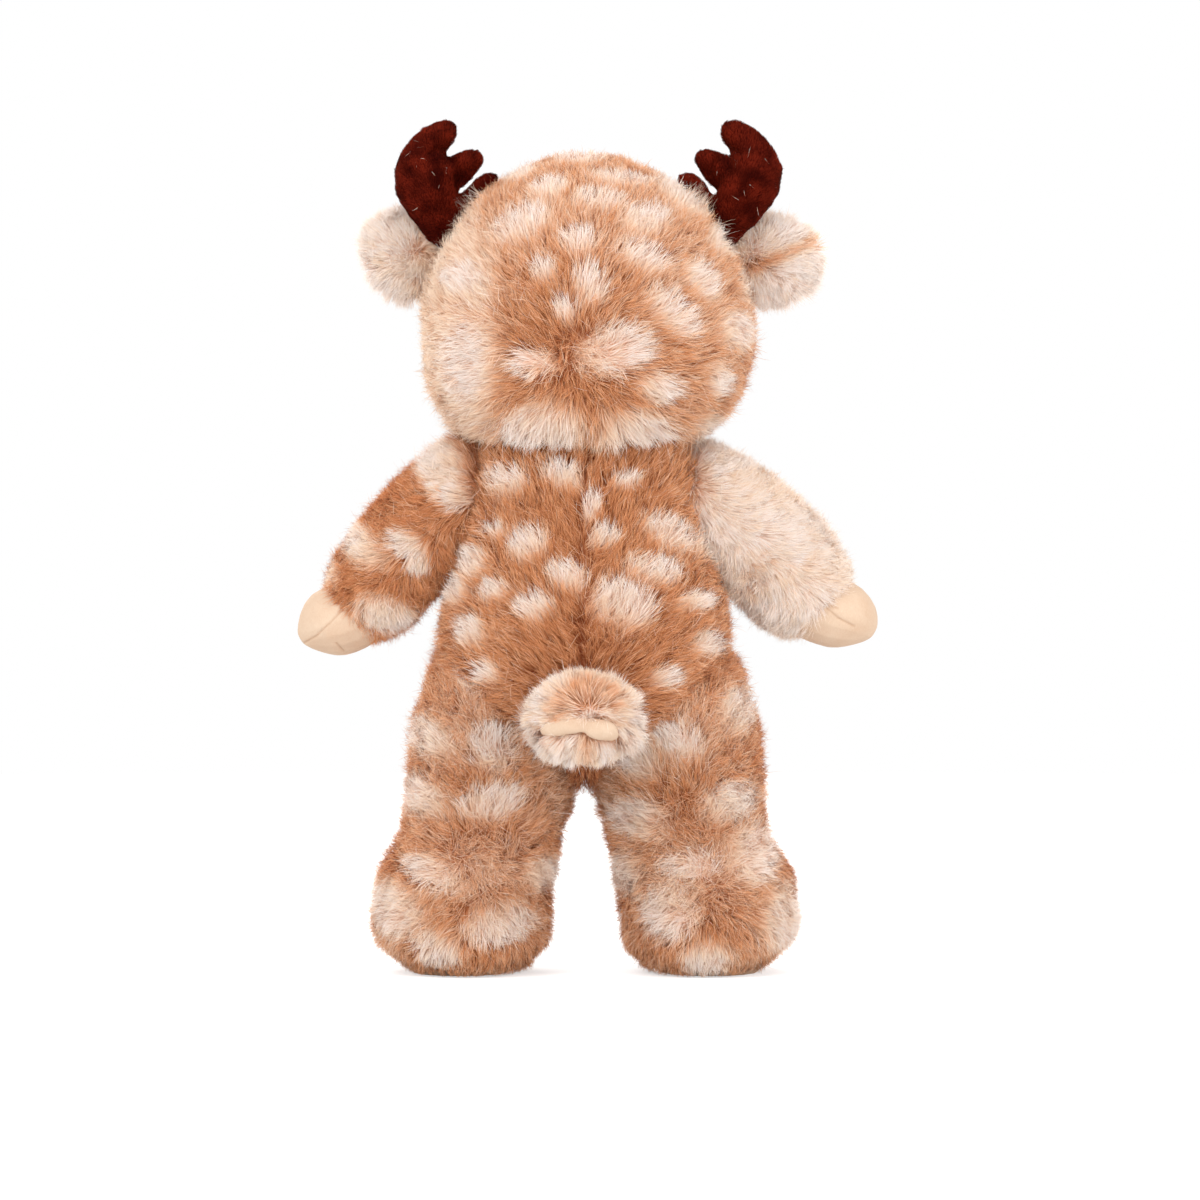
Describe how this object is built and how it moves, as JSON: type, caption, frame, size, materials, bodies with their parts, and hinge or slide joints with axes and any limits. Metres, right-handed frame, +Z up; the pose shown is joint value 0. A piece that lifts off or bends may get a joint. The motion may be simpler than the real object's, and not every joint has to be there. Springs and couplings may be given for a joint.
{
  "type": "plush deer",
  "caption": "Standing stuffed toy deer in spotted long-pile fur, with velour antlers and hoofs, a turning head, sprung limbs, ears and tail.",
  "frame": {"origin": "on the floor, under the middle of the toy's bounding box", "axes": "+X to the toy's own left, -Y the way it faces, +Z up"},
  "size_m": [0.2878, 0.1924, 0.4243],
  "materials": {
    "caramel_fur": "long-pile faux fur, caramel with white spots",
    "cream_fur": "long-pile faux fur, cream",
    "cream_velour": "short velour, pale yellow cream",
    "antler_velour": "short velour, dark red-brown",
    "nose_velour": "short velour, dark brown",
    "fibrefill": "loose polyester fibre",
    "eye_plastic": "polished, near-black brown",
    "washer_plastic": "moulded, natural white"
  },
  "bodies": {
    "torso": {"torso": "caramel_fur", "torso_stuffing": "fibrefill"},
    "head": {"head": "caramel_fur", "head_stuffing": "fibrefill", "muzzle": "cream_velour", "muzzle_stuffing": "fibrefill", "nose": "nose_velour", "left_eye": "eye_plastic", "right_eye": "eye_plastic", "left_eye_washer": "washer_plastic", "right_eye_washer": "washer_plastic", "left_antler": "antler_velour", "right_antler": "antler_velour", "left_antler_stuffing": "fibrefill", "right_antler_stuffing": "fibrefill"},
    "left_ear": {"left_ear": "cream_fur", "left_ear_lining": "cream_velour"},
    "right_ear": {"right_ear": "cream_fur", "right_ear_lining": "cream_velour"},
    "tail": {"tail": "caramel_fur", "tail_stuffing": "fibrefill", "tail_lining": "cream_velour"},
    "left_arm": {"left_arm": "caramel_fur", "left_arm_stuffing": "fibrefill", "left_hoof": "cream_velour", "left_hoof_stuffing": "fibrefill"},
    "right_arm": {"right_arm": "cream_fur", "right_arm_stuffing": "fibrefill", "right_hoof": "cream_velour", "right_hoof_stuffing": "fibrefill"},
    "left_leg": {"left_leg": "caramel_fur", "left_leg_stuffing": "fibrefill", "left_sole": "cream_velour"},
    "right_leg": {"right_leg": "caramel_fur", "right_leg_stuffing": "fibrefill", "right_sole": "cream_velour"}
  },
  "joints": [
    {"name": "head_turn", "type": "hinge", "parent": "torso", "child": "head", "pos_m": [0, 0.0105, 0.268], "axis": [0, 0, 1], "range_deg": [-60, 60], "stiffness_Nm_per_rad": 0.4},
    {"name": "left_ear_fold", "type": "hinge", "parent": "head", "child": "left_ear", "pos_m": [0.0756, 0.0005, 0.3522], "axis": [-0.342, 0, 0.9397], "range_deg": [-20, 20], "stiffness_Nm_per_rad": 0.05},
    {"name": "right_ear_fold", "type": "hinge", "parent": "head", "child": "right_ear", "pos_m": [-0.0756, 0.0005, 0.3522], "axis": [-0.342, 0, -0.9397], "range_deg": [-20, 20], "stiffness_Nm_per_rad": 0.05},
    {"name": "left_arm_swing", "type": "hinge", "parent": "torso", "child": "left_arm", "pos_m": [0.046, 0.0105, 0.236], "axis": [-1, 0, 0], "range_deg": [-50, 95], "stiffness_Nm_per_rad": 0.25},
    {"name": "right_arm_swing", "type": "hinge", "parent": "torso", "child": "right_arm", "pos_m": [-0.046, 0.0105, 0.236], "axis": [-1, 0, 0], "range_deg": [-50, 95], "stiffness_Nm_per_rad": 0.25},
    {"name": "left_leg_swing", "type": "hinge", "parent": "torso", "child": "left_leg", "pos_m": [0.045, 0.0105, 0.112], "axis": [-1, 0, 0], "range_deg": [-25, 75], "stiffness_Nm_per_rad": 1.5},
    {"name": "right_leg_swing", "type": "hinge", "parent": "torso", "child": "right_leg", "pos_m": [-0.045, 0.0105, 0.112], "axis": [-1, 0, 0], "range_deg": [-25, 75], "stiffness_Nm_per_rad": 1.5},
    {"name": "tail_lift", "type": "hinge", "parent": "torso", "child": "tail", "pos_m": [0, 0.0659, 0.1249], "axis": [1, 0, 0], "range_deg": [-12, 6], "stiffness_Nm_per_rad": 0.05}
  ]
}
